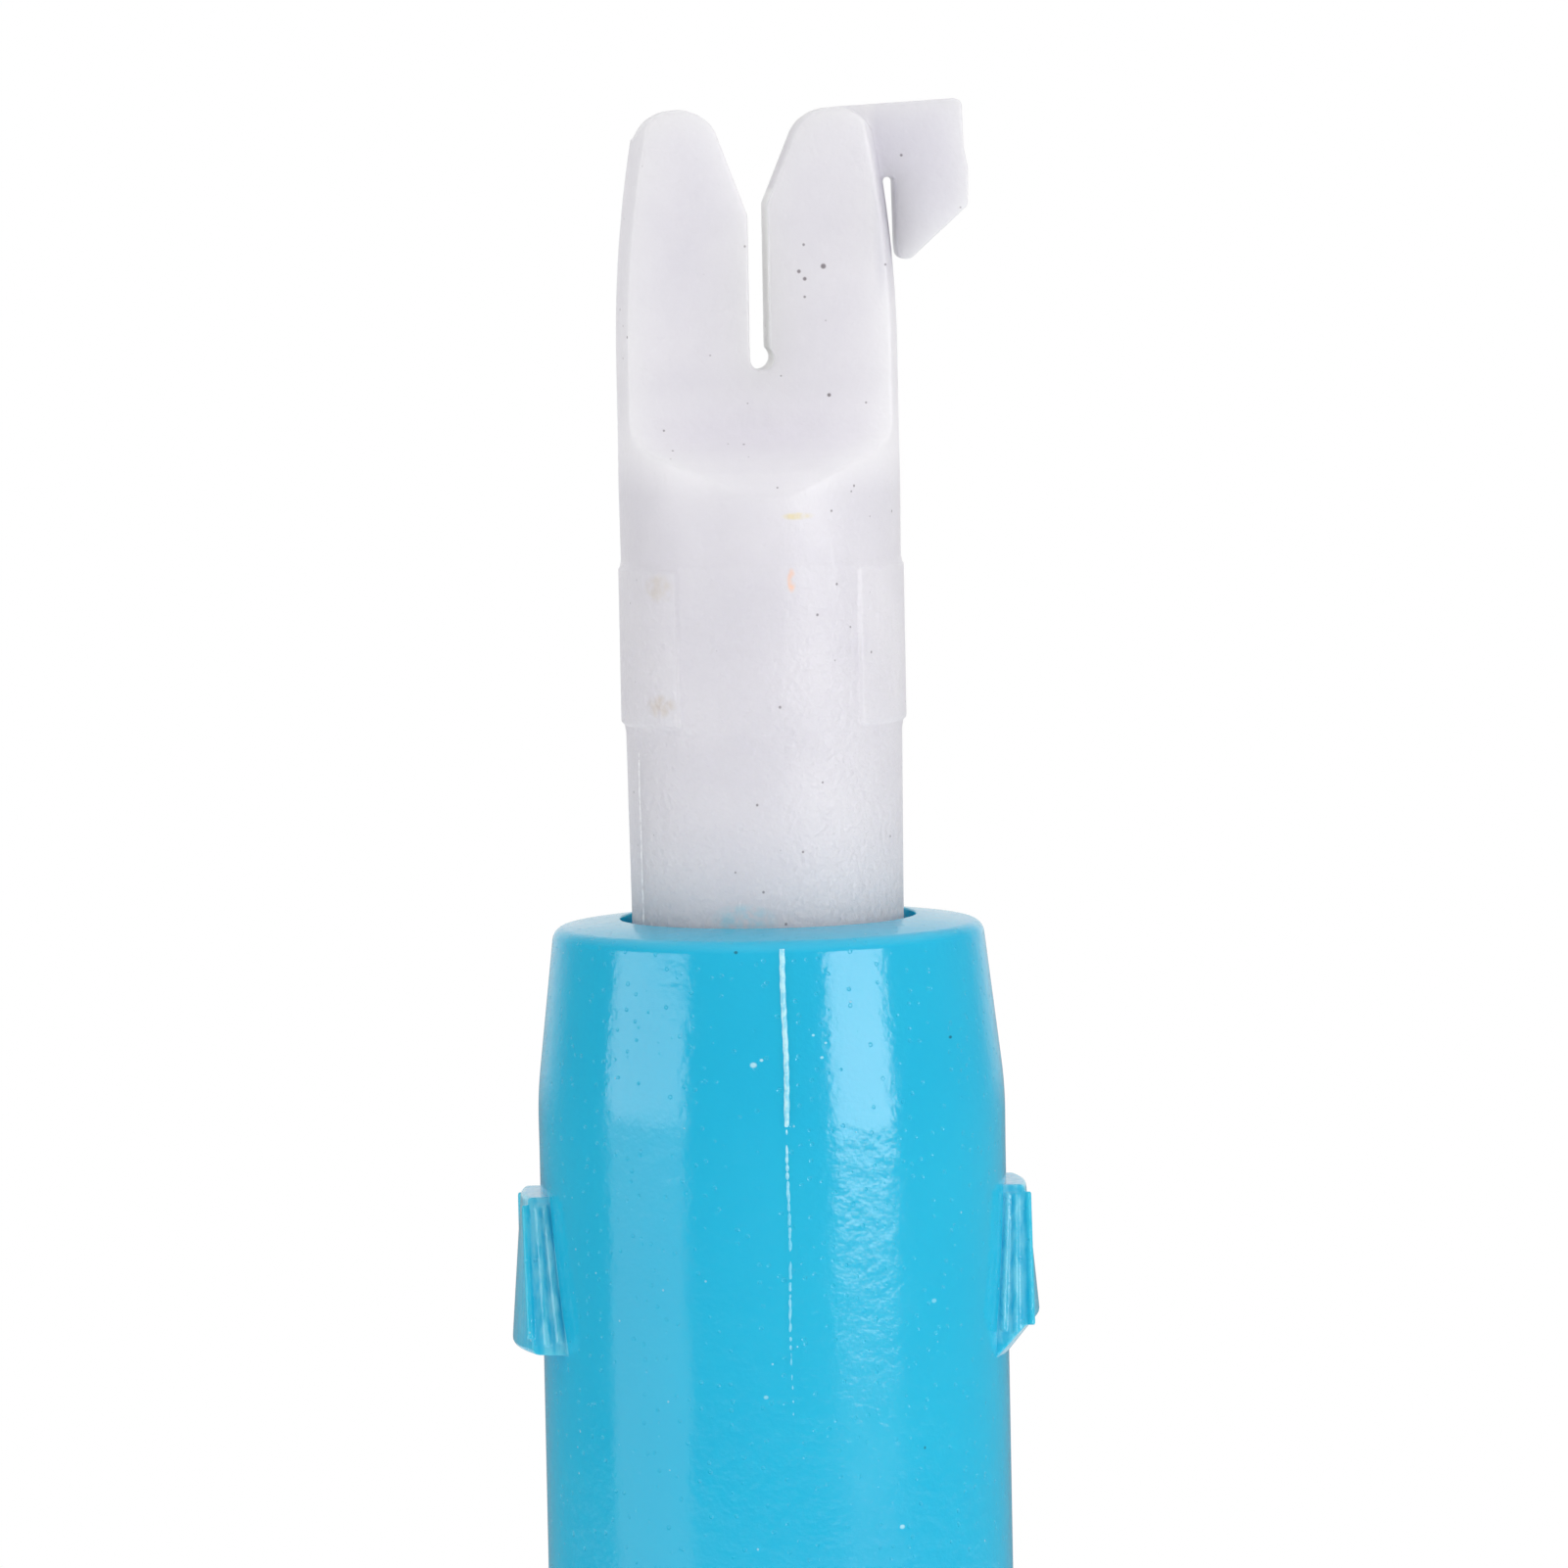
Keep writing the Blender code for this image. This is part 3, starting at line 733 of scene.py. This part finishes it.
def relief_of(tree, *layers):
    """The surface's relief: each layer is a pattern and its depth in mm, laid on the one before."""
    surface = None
    for pattern, depth in layers:
        surface = add(tree, "Bump", {"Height": pattern, "Distance": depth * MM, "Normal": surface})
    return surface


# Single grains stuck to the blade: x, height above the nose rim, radius
GRIT = (
    (1.38, 13.86, 0.07),
    (0.86, 13.76, 0.05),
    (0.98, 13.6, 0.05),
    (1.45, 11.13, 0.05),
    (-0.6, 16.2, 0.04),
)

# Faint handling marks on the core: middle (x, y, height above the nose rim), half sizes, colour
STAINS = (
    ((0.62, -2.95, 8.65), (0.4, 0.5, 0.09), "E2D5A8"),
    ((0.45, -2.95, 7.3), (0.11, 0.5, 0.28), "F2C9AE"),
    ((-2.3, -2.0, 7.15), (0.4, 0.6, 0.35), "D6D0CC"),
    ((-2.3, -2.0, 4.65), (0.42, 0.6, 0.28), "D2C9C2"),
    ((-0.75, -2.9, 0.1), (0.85, 0.6, 0.42), "B4DDEA"),
)


def natural_polypropylene():
    """Natural (uncoloured) polypropylene, injection moulded: milky and light-carrying, with a soft satin
    skin, a faint pebbled texture, fine dust and a few handling marks."""
    made, tree, shader = new_material("natural_polypropylene_moulded", IOR=1.49, Subsurface_Weight=1.0,
                                      Subsurface_Scale=0.003, Subsurface_Radius=(1.0, 1.0, 1.0))
    coords = add(tree, "TexCoord", (), "Object")
    x, y, z = add(tree, "SeparateXYZ", (coords,)).node.outputs
    off_middle_x = add(tree, "Math", (x,), operation="ABSOLUTE")
    off_middle_y = add(tree, "Math", (y,), operation="ABSOLUTE")
    # painted shade: the thin ear is coloured a little greyer, because it passes less light
    ear = region(tree, (x, 2.42, 2.6, 0.0, 1.0), (z, NOSE + 13.0, NOSE + 13.8, 0.0, 1.0))
    # painted light: the ramp is coloured lighter to cancel the shade in its hollow
    ramp = region(tree, (z, NOSE + 9.1, NOSE + 9.9, 0.0, 1.0), (z, NOSE + 10.2, NOSE + 11.4, 1.0, 0.0))
    # painted light: the slot's walls are coloured white to lift the shade between the prongs
    slot = region(tree, (off_middle_x, 0.3, 0.36, 1.0, 0.0), (off_middle_y, 0.98, 1.05, 1.0, 0.0),
                  (z, NOSE + 11.6, NOSE + 11.8, 0.0, 1.0))
    uneven = add(tree, "MapRange", (cloud(tree, coords, 2.5, 3.0), 0.35, 0.65, 0.0, 1.0))
    # the plastic's own uneven tone, then the ear's painted shade and the painted light on the ramp and the
    # slot's walls
    layers = [(uneven, 1.0, linear("DBD9DF")), (ear, 1.0, linear("D3D1D9")), (ramp, 1.0, linear("E9E7EC")),
              (slot, 1.0, linear("FFFFFF"))]
    patchy = add(tree, "MapRange", (cloud(tree, coords, 0.25, 3.0), 0.33, 0.6, 0.0, 0.75))
    for (stain_x, stain_y, height), size, tint in STAINS:
        stain = mark(tree, coords, (stain_x, stain_y, NOSE + height), size)
        layers.append((add(tree, "Math", (stain, patchy), operation="MULTIPLY"), 1.0, linear(tint)))
    dust = specks(tree, coords, 0.42, 0.036, 0.5)
    layers.append((dust, 0.6, linear("5B4E55")))
    for grain_x, height, radius in GRIT:
        grain = mark(tree, coords, (grain_x, -FLAT_Y, NOSE + height), (radius, 0.3, radius))
        layers.append((grain, 0.75, linear("6A5F66")))
    tree.links.new(tinted(tree, linear("E0DEE3"), *layers), shader.inputs["Base Color"])
    lower = region(tree, (z, NOSE + 1.0, NOSE + 8.0, 1.0, 0.25))
    pebbles = add(tree, "Math", (cloud(tree, coords, 0.17), lower), operation="MULTIPLY")
    skin = relief_of(tree, (pebbles, 0.085), (cloud(tree, coords, 0.9), 0.008), (dust, 0.01))
    tree.links.new(skin, shader.inputs["Normal"])
    satin = add(tree, "MapRange", (cloud(tree, coords, 0.5, 3.0), 0.3, 0.7, 0.34, 0.46))
    tree.links.new(satin, shader.inputs["Roughness"])
    return made


# Small chips and specks on the sleeve's front: x, height above the nose rim, radius, colour
CHIPS = (
    (-0.67, -2.72, 0.085, "C9F1FA"),
    (-0.5, -2.62, 0.045, "C9F1FA"),
    (0.6, -2.13, 0.04, "B9ECF8"),
    (0.77, -2.6, 0.045, "B9ECF8"),
    (0.86, -2.3, 0.035, "B9ECF8"),
    (3.1, -7.9, 0.07, "8FDDF2"),
    (-0.55, -9.7, 0.06, "A5E4F4"),
    (2.3, -12.6, 0.07, "B9ECF8"),
    (-0.97, -0.38, 0.05, "1C4E60"),
    (3.6, -2.4, 0.05, "1C4E60"),
)


def lug_mask(tree, coords):
    """1 on the finger lugs' walls, inside their spreading sides, and fading on their outer faces."""
    x, y, z = add(tree, "SeparateXYZ", (coords,)).node.outputs
    below_top = add(tree, "Math", ((NOSE + LUG_TOP_H) * MM, z), operation="SUBTRACT")
    spread = add(tree, "Math", (below_top, math.tan(LUG_WALL_LEAN)), operation="MULTIPLY")
    from_middle = add(tree, "Math", (y,), operation="ABSOLUTE")
    inset = add(tree, "Math", (from_middle, spread), operation="SUBTRACT")
    out_to_side = add(tree, "Math", (x,), operation="ABSOLUTE")
    flat = add(tree, "VectorMath", (coords, (1.0, 1.0, 0.0)), operation="MULTIPLY")
    from_axis = add(tree, "VectorMath", (flat,), "Value", operation="LENGTH")
    top = NOSE + LUG_TOP_H
    return region(tree, (inset, LUG_WALL_TOP + 0.06, LUG_WALL_TOP + 0.09, 1.0, 0.0),
                  (out_to_side, 4.4, 4.5, 0.0, 1.0), (z, NOSE - 9.15, NOSE - 9.05, 0.0, 1.0),
                  (z, top + 0.02, top + 0.06, 1.0, 0.0), (from_axis, 5.4, 5.55, 1.0, 0.25))


def sky_blue_abs():
    """Sky-blue ABS, injection moulded in a polished mould: an even glossy blue that lets a little light in
    at thin edges, with fine pits, pale dust, small chips and frosted lugs."""
    made, tree, shader = new_material("sky_blue_abs_moulded", IOR=1.5, Subsurface_Weight=0.35,
                                      Subsurface_Scale=0.0006, Subsurface_Radius=(0.4, 1.0, 1.2))
    coords = add(tree, "TexCoord", (), "Object")
    uneven = add(tree, "MapRange", (cloud(tree, coords, 6.0), 0.35, 0.65, 0.0, 1.0))
    drawn_out = add(tree, "Mapping", {"Vector": coords, "Scale": (1.0, 1.0, 0.12)})
    streaks = add(tree, "MapRange", (cloud(tree, drawn_out, 0.16), 0.38, 0.62, 0.0, 1.0))
    frosted = tinted(tree, linear("38BCDE"), (streaks, 1.0, linear("6CCFE8")))
    dust = specks(tree, coords, 0.45, 0.03, 0.35)
    grime = specks(tree, coords, 2.3, 0.05, 0.6)
    layers = [(uneven, 1.0, linear("23BCE0")), (lug_mask(tree, coords), 1.0, frosted),
              (dust, 0.35, linear("D5F2FA")), (grime, 0.7, linear("1F5A6E"))]
    for x, height, radius, tint in CHIPS:
        y = -math.sqrt(sleeve_radius(height) ** 2 - x ** 2)
        chip = mark(tree, coords, (x, y, NOSE + height), (radius, 0.2, radius * 0.8))
        layers.append((chip, 0.7, linear(tint)))
    tree.links.new(tinted(tree, linear("1DB8DE"), *layers), shader.inputs["Base Color"])
    pits = specks(tree, coords, 0.22, 0.05, 0.5)
    skin = relief_of(tree, (pits, -0.008), (cloud(tree, coords, 0.1), 0.003),
                     (cloud(tree, coords, 0.35, 3.0), 0.010), (cloud(tree, coords, 2.5, 1.0), 0.012),
                     (dust, 0.006))
    tree.links.new(skin, shader.inputs["Normal"])
    gloss = add(tree, "MapRange", (cloud(tree, coords, 1.2, 4.0), 0.3, 0.7, 0.11, 0.17))
    tree.links.new(gloss, shader.inputs["Roughness"])
    return made


def whitened_flash():
    """The same blue plastic where it squeezed into the mould's parting line: thin, scraped and paler."""
    made, tree, shader = new_material("sky_blue_abs_scraped", IOR=1.5, Roughness=0.4)
    coords = add(tree, "TexCoord", (), "Object")
    scraped = cloud(tree, coords, 0.12)
    patches = add(tree, "MapRange", (scraped, 0.4, 0.6, 0.0, 1.0))
    pale = tinted(tree, linear("86D8F0"), (patches, 1.0, linear("B9ECF8")))
    upper = region(tree, (add(tree, "SeparateXYZ", (coords,), "Z"), NOSE - 6.0, NOSE - 3.9, 0.4, 1.0))
    tree.links.new(tinted(tree, linear("36C2E8"), (upper, 1.0, pale)), shader.inputs["Base Color"])
    tree.links.new(relief_of(tree, (scraped, 0.004)), shader.inputs["Normal"])
    return made


def pale_flash():
    """The natural plastic's own thin flash along the core's parting line: white and slightly rough."""
    made, tree, shader = new_material("natural_polypropylene_flash", IOR=1.49, Roughness=0.45)
    rough = cloud(tree, add(tree, "TexCoord", (), "Object"), 0.12)
    patches = add(tree, "MapRange", (rough, 0.4, 0.6, 0.0, 1.0))
    colour = tinted(tree, linear("EDECF0"), (patches, 1.0, linear("FBFBFD")))
    tree.links.new(colour, shader.inputs["Base Color"])
    tree.links.new(relief_of(tree, (rough, 0.004)), shader.inputs["Normal"])
    return made


def spring_steel():
    """Drawn spring steel: bright grey metal with fine draw lines, made coarse enough to show, and a slightly
    oily, uneven sheen."""
    made, tree, shader = new_material("spring_steel_drawn", Metallic=1.0)
    coords = add(tree, "TexCoord", (), "Object")
    stretched = add(tree, "Mapping", {"Vector": coords, "Scale": (1.0, 1.0, 0.15)})
    oily = cloud(tree, coords, 0.8, 3.0)
    patches = add(tree, "MapRange", (oily, 0.3, 0.7, 0.0, 1.0))
    colour = tinted(tree, linear("B9BABD"), (patches, 1.0, linear("A3A4A9")))
    tree.links.new(colour, shader.inputs["Base Color"])
    tree.links.new(add(tree, "MapRange", (oily, 0.3, 0.7, 0.22, 0.36)), shader.inputs["Roughness"])
    tree.links.new(relief_of(tree, (cloud(tree, stretched, 0.05), 0.001)), shader.inputs["Normal"])
    return made


# ---------------------------------------------------------------- studio

def look_from(azimuth, elevation):
    """The direction towards a viewer, in degrees from the front and from the horizon."""
    a = math.radians(azimuth)
    e = math.radians(elevation)
    return Vector((math.sin(a) * math.cos(e), -math.cos(a) * math.cos(e), math.sin(e)))


def make_camera():
    camera = bpy.data.objects.new("camera", bpy.data.cameras.new("camera"))
    bpy.context.scene.collection.objects.link(camera)
    camera.data.lens = LENS
    camera.data.sensor_width = SENSOR
    camera.data.clip_start = 0.01
    camera.data.clip_end = 10.0
    back = look_from(CAMERA_AZIMUTH, CAMERA_ELEVATION)
    distance = VIEW_WIDTH * MM * LENS / SENSOR
    camera.location = Vector(AIM) * MM + back * distance
    roll = Matrix.Rotation(math.radians(CAMERA_ROLL), 4, "Z")
    turn = (-back).to_track_quat("-Z", "Y").to_matrix().to_4x4() @ roll
    camera.rotation_euler = turn.to_euler()
    bpy.context.scene.camera = camera


def softbox(name, azimuth, low, high, half_width, power_density):
    """A rectangular light that faces the nose, its place and size given in degrees as the nose sees them."""
    out = look_from(CAMERA_AZIMUTH + azimuth, 0.0)
    centre = Vector((0, 0, (NOSE - 3.0) * MM))
    width = 2 * LIGHT_DISTANCE * math.tan(math.radians(half_width))
    z_low = LIGHT_DISTANCE * math.tan(math.radians(low))
    z_high = LIGHT_DISTANCE * math.tan(math.radians(high))
    data = bpy.data.lights.new(name, "AREA")
    data.shape = "RECTANGLE"
    data.size = width
    data.size_y = z_high - z_low
    data.energy = power_density * math.pi * width * (z_high - z_low)
    light = bpy.data.objects.new(name, data)
    bpy.context.scene.collection.objects.link(light)
    light.location = centre + out * LIGHT_DISTANCE + Vector((0, 0, (z_low + z_high) / 2))
    light.rotation_euler = (-out).to_track_quat("-Z", "Y").to_euler()


def make_world():
    """A pale studio: bright behind and overhead, dim in front and below, and plain white to the eye."""
    world = bpy.data.worlds.new("studio")
    bpy.context.scene.world = world
    world.use_nodes = True
    tree = world.node_tree
    background = tree.nodes["Background"]
    background.inputs["Color"].default_value = (1.0, 1.0, 1.0, 1.0)
    x, y, z = add(tree, "SeparateXYZ", (add(tree, "TexCoord", (), "Generated"),)).node.outputs
    backdrop = add(tree, "MapRange", (y, 0.62, 0.9, 0.0, WORLD_BACK - WORLD_DIM))
    over_horizon = add(tree, "MapRange", (z, -0.11, -0.03, 0.0, 1.0))
    behind = add(tree, "Math", (backdrop, over_horizon), operation="MULTIPLY")
    above = add(tree, "MapRange", (z, 0.3, 0.8, 0.0, WORLD_TOP - WORLD_DIM))
    brighter = add(tree, "Math", (behind, above), operation="MAXIMUM")
    total = add(tree, "Math", (brighter, WORLD_DIM), operation="ADD")
    dim_left = add(tree, "MapRange", (x, -0.9, -0.2, 0.7, 1.0))
    total = add(tree, "Math", (total, dim_left), operation="MULTIPLY")
    to_eye = add(tree, "LightPath", (), "Is Camera Ray")
    seen = add(tree, "Math", (to_eye, total), operation="MAXIMUM")
    tree.links.new(seen, background.inputs["Strength"])


def make_floor():
    deselect()
    bpy.ops.mesh.primitive_circle_add(vertices=96, radius=0.35, fill_type="NGON", location=(0, 0, -0.00005))
    floor = bpy.context.object
    floor.name = "floor"
    board = new_material("white_paper_board", Base_Color=linear("FAFAFA"), Roughness=0.9)[0]
    floor.data.materials.append(board)


# ---------------------------------------------------------------- assembly

def place(piece, body, material, slot, *nodes):
    """Gives a piece its material and its body, and hides the CAD nodes it stands for. The record's slot is
    not used.
    """
    piece.data.materials.clear()
    piece.data.materials.append(material)
    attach(piece, body)
    if nodes:
        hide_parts(*nodes)


deselect()
bpy.context.scene.view_settings.view_transform = "Standard"
white = natural_polypropylene()
blue = sky_blue_abs()
steel = spring_steel()

place(make_core(), "core", white, "natural_plastic", "fork_core")
place(make_sleeve(), "sleeve", blue, "sky_blue_plastic", "sleeve")
place(make_flash("parting_flash_front"), "sleeve", whitened_flash(), "sky_blue_plastic")
seam = pale_flash()
for name, facing in (("core_seam_front", 201.0), ("core_seam_back", 21.0)):
    place(make_core_seam(name, facing), "core", seam, "natural_plastic")
place(make_handle(), "core", blue, "sky_blue_plastic", "handle")
place(make_pin(), "core", steel, "spring_steel", "handle_pin")
place(make_end_cap(), "core", blue, "sky_blue_plastic", "end_cap")
bush = ring_piece("guide_bush_moulding", "guide_bush", RING_HOLE_R, 0.15)
place(bush, "sleeve", white, "natural_plastic", "guide_bush")
washer = ring_piece("spring_seat_washer", "spring_seat", RING_HOLE_R, 0.08)
place(washer, "seat", steel, "spring_steel", "spring_seat")
place(make_snap_ring(), "sleeve", steel, "spring_steel", "bush_snap_ring")
spring = make_spring()
place(spring, "core", steel, "spring_steel", "return_spring")
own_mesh(spring)

make_floor()
make_world()
make_camera()
softbox("left_softbox", -65.5, -4.0, 14.0, 22.5, 3.0)
softbox("left_panel", -65.5, -24.0, -4.0, 22.5, 1.05)
softbox("right_softbox", 46.0, -7.4, 17.0, 16.0, 5.4)

deselect()
